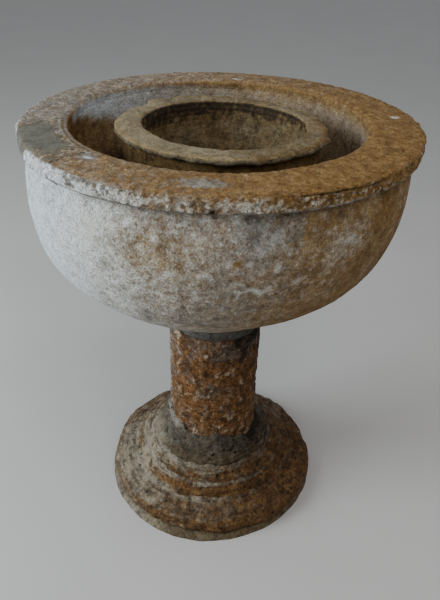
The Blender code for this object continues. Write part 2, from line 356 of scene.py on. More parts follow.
def stone(name, cool, warm, lime_and_light, grime_and_shade=(0.016, 0.012, 0.008), grain=0.0055, bite=1.6, pitted=0.55):
    """Weathered stone: cool and warm tones, lime wash over them, and dirt in the pits.

    Each of cool, warm and lime is three colours, dark to light; the lime colours also paint light on
    lit sides and edges. The masks rust, lime and grime say how much of each shows, and bite how far
    their edges are broken up by noise. The grime mask and colour stand for dirt and painted shade alike.
    The mask broken says where the stone is fractured into crystals with cracks between,
    and even where rust and lime lie as thin smooth washes.
    """
    paint = Paint(name)
    body = paint.noise(grain * 4.5, 8.0, 0.72)
    hue = paint.noise(grain * 2.4, 8.0, 0.70, shift=3.0)
    chalk = paint.noise(grain * 1.7, 8.0, 0.74, shift=6.0)
    grit = paint.noise(grain * 0.55, 3.0, 0.75, shift=9.0)
    ragged = paint.shaken(grain * 1.5, grain * 1.3)
    grains = paint.cells(grain, "Color")
    crystals = paint.cells(grain * 1.4, "Color", place=ragged)
    edges = paint.cells(grain * 2.2, feature="DISTANCE_TO_EDGE", place=ragged)
    tone = paint.around(paint.around(body, grit, 0.50), grains, 0.14)

    rust, broken = paint.mask("rust"), paint.mask("broken")
    shattered = paint.math("MULTIPLY", paint.math("SUBTRACT", crystals, 0.5), broken)
    swing = paint.math("MULTIPLY_ADD", paint.mask("even"), -0.8 * bite, bite)
    patchy = paint.math("MULTIPLY_ADD", paint.math("SUBTRACT", hue, 0.5), swing, rust)
    warmth = paint.ramp(patchy, 0.20, 0.80)
    colour = paint.mix(warmth, paint.shades(tone, cool), paint.shades(tone, warm))
    level = paint.math("MULTIPLY_ADD", paint.mask("lime_and_light"), 0.14, paint.around(grit, body, 0.6))
    wash = paint.mix(rust, paint.shades(level, lime_and_light, 0.41, 0.69), STAIN, "MULTIPLY")
    spread = paint.math("MULTIPLY_ADD", shattered, 0.6, paint.mask("lime_and_light"))
    cover = paint.ramp(paint.around(spread, chalk, bite), 0.20, 0.82, 0.0, 0.94)
    smooth = paint.math("SUBTRACT", paint.mask("lime_and_light"), cover)
    cover = paint.math("MULTIPLY_ADD", smooth, paint.mask("even"), cover)
    colour = paint.mix(cover, colour, wash)

    holes = paint.ramp(paint.noise(grain * 1.1, 4.0, 0.65, shift=18.0), 0.60, 0.68)
    cracks = paint.math("MULTIPLY", paint.ramp(edges, 0.14, 0.01), paint.ramp(body, 0.44, 0.60))
    cracks = paint.math("MULTIPLY", cracks, broken)
    # dirt and painted shade: the grime mask darkens the colour for both, and cracks add dirt
    dirt_and_shade = paint.ramp(paint.around(paint.mask("grime_and_shade"), chalk, 1.3), 0.22, 0.86)
    dirt_and_shade = paint.math("MAXIMUM", dirt_and_shade, paint.math("MULTIPLY", cracks, 0.55))
    colour = paint.mix(paint.math("MULTIPLY", holes, pitted), colour, grime_and_shade)
    colour = paint.mix(dirt_and_shade, colour, grime_and_shade)

    height = paint.math("MULTIPLY_ADD", paint.cells(grain), 0.4, paint.math("MULTIPLY", grit, 0.7))
    height = paint.math("SUBTRACT", height, paint.math("MULTIPLY", holes, 0.8))
    height = paint.math("SUBTRACT", height, paint.math("MULTIPLY", cracks, 0.7))
    height = paint.math("MULTIPLY_ADD", shattered, 1.1, height)
    height = paint.math("MULTIPLY_ADD", cover, 0.35, height)
    return paint.finish(colour, paint.ramp(grit, 0.3, 0.7, 0.80, 0.97), height, 0.0022, 0.85)


# ---- bowl

LEAN_BELOW = 0.66         # the bowl's lean fades out below this height
HOLLOW_SHIFT = np.array([-0.006, 0.007, 0.0])    # the bowl was hollowed a little off its axis
DEEP_PITS = ((269, 1.014, 0.012), (312.5, 1.012, 0.009), (221.6, 0.962, 0.007))    # bearing, height, size
# On the rim: bearing, radius, half width, half depth and whiteness
WHITE_CHIPS = ((5.6, 0.388, 0.015, 0.019, 1.0), (83, 0.35, 0.022, 0.009, 0.9),
               (228.5, 0.36, 0.026, 0.011, 0.7))


def lean(height):
    """Sideways shift of the slightly leaning bowl."""
    shift = -0.0075 + 0.0462 * (height - 0.8)
    return shift * ease(height, BOWL_BOTTOM, LEAN_BELOW)


def bowl_section():
    """Outer wall, then hidden inside the rim, inner wall, floor, and back down the drain hole."""
    bottom, top = BOWL_BOTTOM, RIM_TOP
    return (stretch(HIDDEN, (DRAIN_HOLE, bottom), (0.1, bottom))
            + stretch(PLAIN, (0.126, bottom), (0.16, 0.583), (0.214, 0.62), (0.27, 0.661),
                      (0.326, 0.703), (0.368, 0.741), (0.396, 0.783), (0.412, 0.832), (0.421, 0.885),
                      (0.422, 0.94), (0.417, 0.98), (0.411, BAND_BOTTOM - 0.004))
            + corner(0.4095, BAND_BOTTOM + 0.005, PLAIN)
            + stretch(0.01, (0.34, top - 0.016))
            + stretch(FINE, (0.332, top - 0.0165), (0.3275, top - 0.0175), (0.3262, top - 0.0195),
                      (0.3258, top - 0.022), (0.3256, top - 0.03))
            + stretch(PLAIN, (0.326, 0.98), (0.3265, 0.9))
            + [(0.319, 0.845, 0.007), (0.3, 0.795, 0.008), (0.264, 0.748, 0.01), (0.212, 0.714, 0.012)]
            + stretch(HIDDEN, (0.15, 0.7), (0.06, 0.7), (DRAIN_HOLE, 0.7)))


def rim_section():
    """The projecting band, the flat rim and its inner edge, closed through the stone behind."""
    top, side = RIM_TOP, RIM_RADIUS
    return (corner(0.4085, BAND_BOTTOM, FINEST)
            + stretch(FINEST, (0.425, BAND_BOTTOM - 0.003), (side, BAND_BOTTOM - 0.001),
                      (side + 0.001, BAND_BOTTOM + 0.014), (side, top - 0.006), (side - 0.006, top))
            + stretch(FINE, (0.4, top), (0.35, top), (RIM_INNER + 0.005, top),
                      (RIM_INNER, top - 0.006), (0.3242, top - 0.012), (0.325, top - 0.017),
                      (0.3257, top - 0.0215), (0.3266, top - 0.026), (0.332, top - 0.031))
            + stretch(HIDDEN, (0.34, top - 0.031), (0.4, BAND_BOTTOM + 0.002)))


def patch_cover(form):
    """How thickly the repair mortar lies on the rim: 1 well inside the patch, 0 outside it."""
    down = form.rise(RIM_TOP - 0.004, BAND_BOTTOM + 0.01)
    outer = ease(form.radius, 0.395, 0.425)
    wander = 2.0 * form.rough(0.045, 95)
    start, end = 193 + 2.0 * down + wander, 217 - 6.0 * outer - 1.0 * down + wander
    inner_end = 0.357 + 0.006 * form.rough(0.04, 96)
    return (ease(form.degrees, start - 1.6, start + 1.6) * ease(form.degrees, end + 1.6, end - 1.6)
            * ease(form.radius, inner_end - 0.007, inner_end + 0.007)
            * form.rise(BAND_BOTTOM - 0.012, BAND_BOTTOM - 0.002))


def hand_cut(form, share):
    """Broad unevenness of the hand-cut bowl. The repair patch lies on it, so it follows too."""
    form.widen(0.0028 * form.rough(0.28, 1, 2) * share)
    form.lift(0.0018 * noise(form.place, 0.22, 2) * form.rise(0.9, 1.0))


def break_band(form, face, top):
    """Broken blocks, crystals and crevices round the band. Returns how pale and how dirty it is."""
    warp = np.stack([noise(form.place, 0.02, seed) for seed in (24, 25, 26)], -1)
    gap, kind = pebbles(form.place + 0.008 * warp, 0.024, 3)
    small, shade = pebbles(form.place + 0.004 * warp, 0.009, 4)
    crevice = ease(gap, 0.6, 0.86) * ease(form.rough(0.05, 19), -0.35, 0.25)
    wear = ease(form.rough(0.055, 5), -0.1, 0.7)
    form.push(face * (0.0024 - 0.0032 * crevice - 0.004 * wear * (1.2 - kind)
                      + 0.0036 * (shade - 0.5) * ease(small, 0.95, 0.35)
                      + 0.0022 * form.rough(0.016, 18)))
    lower = form.rise(RIM_TOP - 0.006, BAND_BOTTOM)
    form.lift(face * lower * 0.004 * form.rough(0.04, 6, 3))
    form.push(0.0025 * face * form.near(212.5, BAND_BOTTOM + 0.016, 0.022, 0.02))
    form.widen(-0.009 * face * lower * form.sector(336, 400, 16))
    outer = ease(form.radius, 0.402, 0.424)
    inner = ease(form.radius, RIM_INNER + 0.016, RIM_INNER + 0.002)
    soft = form.by_bearing({140: 0.4, 190: 0.2, 220: 0.0, 305: 0.0, 335: 0.8, 20: 1.1, 60: 0.6, 110: 0.4})
    form.push(-top * (outer * 0.005 * ease(form.rough(0.022, 7, 4), -0.1, 0.8)
                      + inner * (0.0018 * ease(form.rough(0.022, 8), 0.0, 0.7) + 0.004 * soft)))
    pale = ease(form.rough(0.03, 27, 4) + 0.5 * (kind - 0.5) + 0.7 * (shade - 0.5), -0.8, 0.05)
    dirty = crevice * (0.35 + 0.45 * wear) + 0.3 * ease(small, 0.5, 0.85) * ease(shade, 0.5, 0.1)
    return pale * (1 - 0.4 * crevice), np.clip(dirty, 0, 1)


def wear_bowl(form):
    """Shape and masks of the weathered bowl. The rim and the body share them, so they join."""
    top = ease(form.facing_up, 0.5, 0.9) * form.rise(RIM_TOP - 0.012, RIM_TOP - 0.004)
    band = form.rise(BAND_BOTTOM - 0.001, BAND_BOTTOM + 0.004) * ease(form.radius, 0.412, 0.424)
    face = band * (1 - top)
    body = ease(form.facing_out, -0.1, 0.1) * form.rise(BAND_BOTTOM + 0.002, BAND_BOTTOM - 0.006)
    inside = ease(form.facing_out, 0.1, -0.2) * (1 - top)

    hand_cut(form, 1 - 0.4 * inside)
    patched = patch_cover(form)
    pale, dirty = break_band(form, face * (1 - patched), top * (1 - patched))
    form.push(-0.003 * patched * (top + face))

    form.push(top * (0.0012 * form.rough(0.03, 9) + 0.0009 * form.rough(0.01, 10, 2)))
    pits = form.scattered(0.015, 11, 0.36)
    form.push(-(top + 0.8 * face) * 0.0024 * pits)
    form.push(body * (0.0013 * form.rough(0.06, 12) + 0.0007 * form.rough(0.013, 13)))
    pocks = form.scattered(0.014, 14, 0.4)
    form.push(-body * 0.0014 * pocks)
    form.push(inside * (0.0022 * form.rough(0.07, 15, 4)))

    # a spalled flake low on the front, and painted shade along the line beneath the projecting band
    flake = form.near(279, 0.838, 0.036, 0.026) * body + 0.2 * noise(form.place, 0.02, 16)
    form.push(-0.003 * ease(flake, 0.3, 0.45))
    crescent = ease(flake, 0.02, 0.22) * ease(flake, 0.6, 0.35) * form.rise(0.832, 0.846) * body
    shade_under_band = ease(np.abs(form.height - BAND_BOTTOM + 0.002), 0.006, 0.0)
    shade_under_band *= ease(form.facing_out, -0.1, 0.1)

    # a natural bedding seam across the right of the band: the layer below it has broken back
    seam_height = form.by_bearing({
        280: RIM_TOP - 0.004, 298: RIM_TOP - 0.006, 308: RIM_TOP - 0.01, 318: RIM_TOP - 0.004,
        326: RIM_TOP - 0.001})
    seam_height = seam_height + 0.003 * form.rough(0.03, 17)
    seam = ease(np.abs(form.height - seam_height), 0.0035, 0.0) * form.sector(284, 313, 7) * face
    below = form.rise(seam_height, seam_height - 0.006) * form.sector(288, 318, 8) * face
    form.push(-0.0042 * seam - 0.0045 * below)

    deep = sum(form.near(bearing, height, size, size) for bearing, height, size in DEEP_PITS)
    chip = sum(white * form.near(bearing, RIM_TOP, width, 1.0)
               * ease(np.abs(form.radius - radius), depth, 0.0)
               for bearing, radius, width, depth, white in WHITE_CHIPS)
    chip = top * ease(chip + 0.3 * form.rough(0.012, 28), 0.18, 0.7)
    deep = deep * ease(form.rough(0.007, 47), -0.7, 0.3)
    form.push(-0.007 * deep - 0.0022 * chip)
    form.points[:, 0] += lean(form.height)
    hollow = ease(form.radius, 0.375, 0.33) * form.rise(0.88, 0.98)
    form.points += hollow[:, None] * HOLLOW_SHIFT
    paint_bowl(form, top, face * (1 - patched), body, inside, pale)
    spot = form.near(275, 0.913, 0.009, 0.009) * body
    form.lime_and_light += 0.6 * chip + 0.5 * crescent - 0.6 * spot
    form.rust += 0.9 * spot - 0.5 * chip
    form.grime_and_shade += (face * 0.66 * dirty + 0.4 * pits * top + 0.4 * pocks * body
                   + 0.6 * seam + 0.5 * shade_under_band + deep)


def paint_bowl(form, top, face, body, inside, pale):
    """The bowl's masks: lime on the left and on the band, rust on the right, dirt and painted shade in
    the trough.
    """
    blotch = form.rough(0.11, 20)
    mottle = form.rough(0.022, 21)
    streak = form.rough(0.045, 22, 3, 0.3)
    run = ease(form.rough(0.03, 23, 3, 0.1), 0.05, 0.55) * form.rise(0.84, 1.0)
    damp = ease(form.rough(0.16, 29, 4, 0.5), 0.0, 0.45) * form.sector(40, 205, 14)
    low = form.rise(0.84, 0.68) * form.sector(285, 400, 25)
    tan, grey, lichen = (form.near(254, 0.925, 0.12, 0.09), form.near(282, 0.96, 0.1, 0.08),
                         form.near(305, 0.925, 0.08, 0.07))
    wall_lime = form.by_bearing({
        160: 0.58, 182: 0.72, 196: 0.8, 218: 0.85, 235: 0.74, 255: 0.5, 275: 0.37, 292: 0.27,
        308: 0.23, 325: 0.18, 345: 0.13, 20: 0.27, 60: 0.38, 100: 0.5, 135: 0.6})
    wall_rust = form.by_bearing({
        165: 0.1, 195: 0.04, 203: 0.02, 222: 0.12, 240: 0.42, 262: 0.52, 280: 0.56, 300: 0.74,
        320: 0.9, 345: 0.94, 20: 0.76, 60: 0.56, 110: 0.3})
    band_lime = form.by_bearing({
        190: 0.85, 215: 1.12, 240: 0.98, 258: 0.7, 285: 0.57, 300: 0.33, 320: 0.06, 20: 0.15,
        70: 0.35, 110: 0.55, 150: 0.55})
    band_lime *= 1 - 0.8 * form.rise(RIM_TOP - 0.018, RIM_TOP - 0.004) * form.sector(236, 510, 15)
    rim_lime = form.by_bearing({
        185: 0.3, 215: 0.33, 240: 0.22, 262: 0.18, 290: 0.09, 330: 0.06, 20: 0.12, 70: 0.24,
        110: 0.3, 150: 0.3})
    rim_rust = form.by_bearing({
        185: 0.38, 205: 0.42, 228: 0.64, 250: 0.66, 275: 0.81, 300: 0.86, 350: 0.85, 40: 0.76,
        80: 0.68, 120: 0.54, 155: 0.42})
    inner_lime = form.by_bearing({
        100: 0.44, 145: 0.84, 168: 0.88, 184: 0.4, 240: 0.1, 300: 0.16, 340: 0.42, 20: 0.43,
        60: 0.37})
    inner_rust = form.by_bearing({
        150: 0.14, 170: 0.14, 184: 0.6, 250: 0.8, 320: 0.8, 20: 0.78, 60: 0.76, 110: 0.56})
    sunk = form.by_bearing({110: 0.4, 145: 0.8, 175: 1.0, 270: 1.0, 310: 0.6, 20: 0.3, 70: 0.3})
    waterline = form.by_bearing({
        140: 0.99, 152: 1.004, 165: 1.022, 175: 1.038, 183: 1.055, 310: 1.055, 345: 1.01, 20: 0.985,
        70: 0.985})
    sunk = sunk * ease(form.height + 0.016 * streak, waterline, waterline - 0.035)
    worn_edge = form.by_bearing({20: 0.042, 75: 0.036, 115: 0.016, 250: 0.016, 300: 0.04})
    edge = form.rise(RIM_TOP - worn_edge, RIM_TOP - 0.2 * worn_edge)
    lens = sum(form.near(bearing, RIM_TOP, width, 1.0) * ease(np.abs(form.radius - radius), 0.026, 0.008)
               for bearing, radius, width in ((265, 0.378, 0.07), (228, 0.36, 0.03)))
    form.lime_and_light = (
        body * (wall_lime + 0.16 * blotch + 0.13 * streak + 0.14 * mottle
                - 0.16 * tan + 0.16 * lichen + 0.05 * grey - 0.2 * low - 0.4 * damp)
        + face * (0.16 + 0.68 * band_lime * pale)
        + top * (rim_lime + 0.15 * mottle - 0.1 * lens)
        + inside * (inner_lime * (1 - 0.95 * sunk) * (1 - 0.7 * edge) + 0.08 * mottle))
    form.rust = (
        body * (wall_rust + 0.18 * blotch + 0.12 * streak + 0.07 * mottle + 0.16 * tan
                - 0.22 * grey - 0.2 * lichen + 0.15 * low + 0.12 * damp
                + 0.45 * run * form.sector(285, 400, 15))
        + face * (0.62 + 0.33 * form.sector(285, 430, 20) - 0.4 * form.sector(185, 243, 15))
        + top * (rim_rust + 0.16 * mottle - 0.54 * lens)
        + inside * (inner_rust * (1 - sunk) + 0.98 * sunk + 0.1 * streak + 0.3 * edge))
    # dirt on the band and rim, and painted shade on the right side, away from the light
    form.grime_and_shade = (0.1 * face + top * (0.09 + 0.09 * form.sector(300, 400, 25))
                  + 0.07 * form.sector(290, 400, 20) * body
                  # painted shade that deepens further down the trough, besides the waterline stain
                  + inside * (0.04 + 0.34 * sunk + 0.45 * form.rise(0.95, 0.82)))
    form.broken = face + 0.45 * top + 0.34 * body + 0.2 * inside
    form.even = 0.6 * inside + body * (0.1 + 0.12 * form.sector(262, 350, 20)) + 0.15 * top


def make_bowl():
    """The outer bowl's wall, inside and out."""
    form = Surface(bowl_section(), 440)
    wear_bowl(form)
    return form.mesh("bowl_body")


def make_rim():
    """The bowl's rim with its broken band, in finer mesh than the rest."""
    form = Surface(rim_section(), 1160)
    wear_bowl(form)
    return form.mesh("bowl_rim")


# ---- inner basin

def basin_section():
    """Foot, bulging wall, thin flange, mouth, cavity and drain hole."""
    top = BASIN_TOP
    under = top - 0.013
    return (stretch(HIDDEN, (0.0155, BASIN_BOTTOM), (0.11, BASIN_BOTTOM))
            + [(0.124, 0.737, 0.01), (0.142, 0.745, 0.01), (0.178, 0.775, 0.008), (0.204, 0.818, 0.007),
               (0.216, 0.875, 0.006), (0.2195, 0.945, 0.005)]
            + stretch(FINE, (0.2185, under - 0.006), (0.219, under), (0.23, under - 0.001),
                      (BASIN_RADIUS, under + 0.002), (BASIN_RADIUS, top - 0.003),
                      (BASIN_RADIUS - 0.004, top), (0.21, top), (0.186, top), (0.1775, top - 0.006))
            + [(0.18, 0.985, 0.0045), (0.18, 0.93, 0.0045), (0.172, 0.87, 0.005),
               (0.149, 0.826, 0.006), (0.108, 0.799, 0.007), (0.06, 0.791, 0.009),
               (0.0195, 0.789, 0.009)])


def make_basin():
    """The smaller basin standing inside the bowl."""
    form = Surface(basin_section(), 360)
    out, up = form.facing_out, form.facing_up
    flange = form.rise(BASIN_TOP - 0.017, BASIN_TOP - 0.011) * ease(form.radius, 0.176, 0.182)
    lip = flange * ease(form.radius, 0.214, 0.231)
    top = ease(up, 0.5, 0.9) * flange
    cavity = ease(out, 0.2, -0.1) * ease(form.radius, 0.186, 0.18)
    cavity = np.clip(cavity + ease(form.radius, 0.17, 0.16) * form.rise(0.766, 0.786), 0, 1)
    wall = ease(out, 0.0, 0.3) * form.rise(BASIN_TOP - 0.013, BASIN_TOP - 0.019)

    # outline of the flange: wider at the back, cut back on the left, worn all round
    outline = form.by_bearing({
        60: 0.006, 100: 0.009, 136: 0.011, 142: -0.007, 165: -0.004, 185: 0.0, 230: 0.0, 268: 0.001,
        277: 0.004, 284: 0.0, 330: 0.0, 341: 0.006, 347: -0.004, 20: 0.0})
    form.widen(lip * (outline + 0.003 * form.rough(0.045, 30)))
    form.points[:, 0] += 0.005 * form.rise(0.82, 0.98)
    mouth = ease(form.radius, 0.205, 0.18) * form.rise(0.9, BASIN_TOP)
    form.points[:, 0] += 0.005 * mouth
    form.points[:, 1] += 0.013 * mouth
    form.widen(mouth * 0.0026 * form.rough(0.045, 31))

    form.push(flange * (0.002 * form.rough(0.035, 32) + 0.0015 * form.rough(0.012, 33)))
    chips = form.scattered(0.021, 34, 0.4, 0.42)
    rounded = ease(form.rough(0.03, 35), -0.2, 0.7)
    form.push(-lip * (0.004 * chips + 0.0028 * rounded))
    form.lift(lip * 0.0022 * form.rough(0.04, 36, 3, 0.2))
    ledges = noise(form.place * [0.25, 0.25, 1], 0.012, 37) + 0.5 * form.rough(0.03, 38)
    form.push(wall * (0.002 * form.rough(0.05, 39, 4) + 0.0016 * ledges))
    turned = np.sin((form.height + 0.004 * noise(form.place, 0.1, 40)) * math.tau / 0.012)
    form.push(cavity * (0.002 * form.rough(0.045, 41, 4) + 0.0005 * turned))
    hole = form.near(229, BASIN_TOP - 0.017, 0.014, 0.008)
    form.push(-0.008 * hole)

    tilt = form.rise(0.8, BASIN_TOP)
    form.lift(tilt * (0.002 - 0.016 * form.points[:, 0] - 0.014 * form.points[:, 1]))

    # soot and painted shadow hang in a ragged fringe under the far side of the mouth
    depth = form.by_bearing({
        345: 0.004, 10: 0.014, 40: 0.022, 80: 0.032, 120: 0.036, 160: 0.042, 180: 0.026, 210: 0.01,
        230: 0.004})
    fringe = BASIN_TOP - depth + 0.018 * form.rough(0.018, 42, 4) + 0.008 * noise(form.place, 0.06, 43)
    soot_and_shadow = (0.45 * form.rise(fringe - 0.034, fringe + 0.004)
            + 0.55 * form.rise(fringe - 0.006, fringe + 0.008)
            * ease(form.rough(0.014, 46), -0.9, 0.1))
    soot_and_shadow *= form.rise(BASIN_TOP + 0.001, BASIN_TOP - 0.006)
    blotch, mottle = form.rough(0.08, 44), form.rough(0.022, 45)
    # the wall just under the flange, where painted shade goes
    under = form.rise(BASIN_TOP - 0.032, BASIN_TOP - 0.014)
    shaded = form.sector(285, 380, 25)
    form.lime_and_light = (
        top * (0.58 + 0.2 * blotch + 0.15 * mottle - 0.3 * shaded
               - 0.3 * form.sector(50, 130, 25))
        + lip * (0.2 - 0.25 * shaded)
        + wall * (0.02 + 0.14 * ledges) + cavity * (0.06 + 0.08 * blotch))
    form.rust = (wall * (0.98 + 0.2 * blotch + 0.15 * ledges)
                 + cavity * (0.53 + 0.14 * blotch + 0.06 * turned + 0.3 * soot_and_shadow)
                 + lip * (0.35 + 0.25 * rounded) + top * (0.46 + 0.2 * mottle + 0.1 * shaded))
    form.grime_and_shade = (
        cavity * (0.6 * soot_and_shadow + 0.12 * form.rise(0.82, 0.93) + 0.06 * turned)
        + 0.5 * lip * chips + hole + 0.06 * flange
        # painted shade under the flange at the front and right; the wall also darkens towards its bottom
        + wall * (0.08 + 0.3 * under * form.sector(245, 400, 15) - 0.2 * ledges
                  + 0.4 * form.rise(0.97, 0.88)))
    form.broken = 0.5 * lip + 0.2 * wall + 0.2 * top
    form.even = 0.75 * cavity + 0.3 * top
    return form.mesh("inner_basin_body")


# ---- shaft and base

def make_shaft():
    """The round shaft, its surface flaking off in scales."""
    low, high, radius = SHAFT_BOTTOM, SHAFT_TOP, SHAFT_RADIUS
    section = (
        [(DRAIN_HOLE, low, HIDDEN)] + corner(radius - 0.002, low, FINE)
        + stretch(FINE, (radius, low + 0.004), (radius, 0.34), (radius, high - 0.004))
        + corner(radius - 0.002, high, FINE) + [(DRAIN_HOLE, high, HIDDEN)])
    form = Surface(section, 256)
    skin = ease(form.radius, 0.1, 0.112)
    scales = form.rough(0.028, 50, 4, 0.7)
    proud = ease(scales, -0.1, 0.12)
    flakes = ease(form.rough(0.014, 57, 3, 0.8), -0.08, 0.1)
    form.push(skin * (0.002 * form.rough(0.12, 51, 2) + 0.003 * (proud - 0.5)
                      + 0.0014 * (flakes - 0.5) + 0.0012 * form.rough(0.011, 52)))
    pits = form.scattered(0.013, 53, 0.45)
    form.push(-skin * 0.0016 * pits)
    blotch = ease(form.rough(0.03, 54, 4), 0.02, 0.4)
    small = ease(form.rough(0.011, 55), 0.15, 0.5)
    # painted light makes the left side paler; painted shade darkens the right side and the top under the
    # bowl
    left, right = form.sector(150, 203, 16), form.sector(300, 380, 25)
    high_up = form.rise(0.4, 0.52)
    form.rust = 0.74 + 0.42 * form.rough(0.05, 56) - 0.35 * left - 0.3 * high_up
    form.lime_and_light = (0.08 + 0.54 * blotch * proud + 0.42 * small + 0.34 * left
                 + 0.4 * form.near(247, 0.325, 0.02, 0.02) + 0.1 * form.rise(0.28, 0.2)
                 + 0.1 * high_up * form.sector(200, 262, 15) - 0.1 * right)
    form.grime_and_shade = (0.45 * pits + 0.2 * (1 - proud) + 0.12 * (1 - flakes) + 0.4 * right * high_up
                  + 0.1 * right + 0.24 * ease(form.rough(0.035, 58), 0.0, 0.5)
                  + 0.16 * form.rise(0.48, 0.52))
    form.broken = 0.45 * skin
    return form.mesh("shaft_body")


def make_joint():
    """Dark mortar between the shaft and the bowl."""
    low, high = SHAFT_TOP + 0.0003, BOWL_BOTTOM
    radius = SHAFT_RADIUS
    section = (
        [(DRAIN_HOLE, low, HIDDEN)]
        + stretch(FINE, (radius - 0.012, low), (radius - 0.0005, low - 0.003),
                  (radius + 0.001, low + 0.012), (radius + 0.002, high - 0.012),
                  (radius + 0.006, high + 0.003))
        + stretch(HIDDEN, (radius - 0.004, high + 0.006), (DRAIN_HOLE, high)))
    form = Surface(section, 220)
    skin = ease(form.radius, 0.1, 0.112)
    form.push(skin * (0.003 * form.rough(0.05, 60) + 0.0012 * form.rough(0.014, 61) - 0.001))
    form.lift(skin * 0.005 * noise(form.place * [1, 1, 0.1], 0.06, 62)
              * form.rise(high - 0.006, low))
    blotch = form.rough(0.05, 63)
    # painted light on the left side, painted shade on the right
    form.lime_and_light = 0.1 + 0.2 * blotch + 0.6 * form.sector(150, 205, 14)
    form.rust = 0.05 + 0.25 * blotch
    form.grime_and_shade = 0.25 + 0.25 * blotch + 0.2 * form.sector(300, 400, 20)
    return form.mesh("bowl_joint")


def make_haunching():
    """Grey mortar cone round the foot of the shaft, trowelled in rings."""
    low, high = HAUNCH_BOTTOM, HAUNCH_TOP
    inner = SHAFT_RADIUS - 0.006
    section = (
        [(inner, low - 0.002, HIDDEN), (0.15, low - 0.004, PLAIN)]
        + corner(0.164, low - 0.003, FINE)
        + stretch(FINE, (0.158, low + 0.01), (0.147, 0.158), (0.137, 0.18), (0.129, 0.199),
                  (0.1225, high - 0.002), (0.119, high + 0.001))
        + stretch(HIDDEN, (inner, high - 0.004), (inner, 0.17)))
    form = Surface(section, 300)
    climb = form.rise(low, high)
    spread = 1 - climb
    rise = form.by_bearing({
        20: -0.02, 60: 0.000, 130: 0.006, 197: 0.021, 231: -0.008, 254: -0.018, 268: -0.01,
        276: 0.005, 284: -0.012, 302: -0.03, 334: -0.046})
    skin = ease(form.radius, SHAFT_RADIUS - 0.004, SHAFT_RADIUS + 0.002)
    form.lift(climb * (rise + 0.006 * form.rough(0.03, 70, 2, 0.1)))
    form.widen(spread * (0.0085 * form.rough(0.075, 71, 4, 0.1)))
    form.push(skin * (0.0042 * form.rough(0.06, 72) + 0.0026 * form.rough(0.017, 73)))
    trowel = np.sin((form.height + 0.011 * noise(form.place, 0.07, 74)) * math.tau / 0.0115)
    form.push(skin * 0.0022 * trowel * ease(form.rough(0.06, 75), -0.4, 0.5))
    holes = form.scattered(0.016, 76, 0.5)
    form.push(-skin * 0.0034 * holes)
    blotch = form.rough(0.05, 77)
    # painted light makes the left paler; painted shade darkens the right, most at the top right under the
    # bowl
    left, right = form.sector(165, 232, 20), form.sector(285, 375, 25)
    lining = ease(climb + 0.1 * form.rough(0.025, 78), 0.84, 1.0) * form.sector(180, 246, 14)
    lining *= ease(form.rough(0.04, 79), -0.6, 0.1)
    form.lime_and_light = (0.08 + 0.22 * blotch + 0.3 * left + 0.6 * lining
                 + 0.35 * ease(climb, 0.3, 0.02) * form.sector(165, 215, 14))
    form.rust = 0.34 + 0.35 * blotch + 0.3 * spread * right + 0.4 * ease(climb, 0.28, 0.0)
    form.grime_and_shade = (0.7 * holes + 0.26 * ease(-trowel, 0.0, 0.9) + 0.26 * right
                  + 0.1 * ease(blotch, 0.0, 0.6) + 0.6 * climb * form.sector(318, 366, 14))
    return form.mesh("haunching")


def make_base():
    """The stepped base stone: treads paler and risers rustier, from wear and rust and from painted light
    and shade.
    """
    low, wide = BASE_BOTTOM, BASE_RADIUS - 0.002
    section = (
        stretch(HIDDEN, (DRAIN_HOLE, low), (0.2, low)) + [(wide - 0.005, low, 0.006)]
        + stretch(FINE, (wide - 0.001, 0.016), (wide, 0.026), (wide - 0.006, 0.041),
                  (0.27, 0.054), (0.252, 0.06), (0.234, 0.063), (0.221, 0.072), (0.215, 0.084),
                  (0.209, 0.097), (0.197, 0.103), (0.188, 0.114), (0.176, 0.126), (0.16, BASE_TOP))
        + stretch(HIDDEN, (0.13, BASE_TOP), (DRAIN_HOLE, BASE_TOP)))
    form = Surface(section, 640)
    skin = ease(form.radius, 0.13, 0.16) * form.rise(low - 0.001, low + 0.006)
    form.widen(skin * (0.0045 * form.rough(0.16, 80, 2, 0.4) - 0.006 * form.sector(165, 205, 25)))
    form.push(skin * (0.0052 * form.rough(0.07, 81) + 0.0034 * form.rough(0.026, 82)
                      + 0.0016 * form.rough(0.011, 83)))
    rings = np.sin((form.radius + 0.006 * noise(form.place, 0.09, 84)) * math.tau / 0.0125)
    form.push(skin * (0.0012 * rings * ease(form.radius, 0.27, 0.24) + 0.0028 * form.banded(0.012, 89)))
    pits = form.scattered(0.017, 85, 0.42)
    form.push(-skin * 0.0034 * pits)
    hollows = ((246, 0.108, 0.02, 0.01, 0.006), (254, 0.03, 0.022, 0.014, 0.006),
               (205, 0.075, 0.03, 0.014, 0.005))
    for degrees, height, across, tall, depth in hollows:
        form.push(-depth * form.near(degrees, height, across, tall) * skin)
    streak = form.banded(0.011, 86)
    # upward-facing treads painted paler as lit from above, partly wear; risers kept darker and rustier as
    # shaded
    tread = ease(form.facing_up + 0.2 * streak, 0.55, 0.88)
    blotch, mottle = form.rough(0.06, 87), form.rough(0.022, 88)
    # painted light makes the left side paler, painted shade darkens the right
    left, right = form.sector(160, 232, 20), form.sector(288, 385, 22)
    # white: a painted highlight on the lit tier edges low on the left
    white = form.near(207, 0.088, 0.075, 0.045) * ease(mottle + 0.5 * streak, -0.35, 0.25)
    tread = tread * (1 - 0.45 * ease(form.radius, 0.225, 0.245))
    form.lime_and_light = (0.1 + 0.42 * tread + 0.28 * left + 0.3 * streak + 0.32 * mottle - 0.38 * right
                 + 0.65 * white + 0.3 * form.near(252, 0.02, 0.05, 0.02))
    form.rust = 0.84 + 0.2 * blotch + 0.2 * mottle - 0.44 * tread - 0.2 * left + 0.14 * right
    form.grime_and_shade = (0.45 * pits + 0.22 * right + 0.26 * ease(-rings, 0.2, 1.0) * tread
                  + 0.25 * ease(mottle, 0.0, -0.7) + 0.15 * ease(streak, 0.0, -0.6))
    form.broken = 0.3 * skin
    return form.mesh("base_stone")


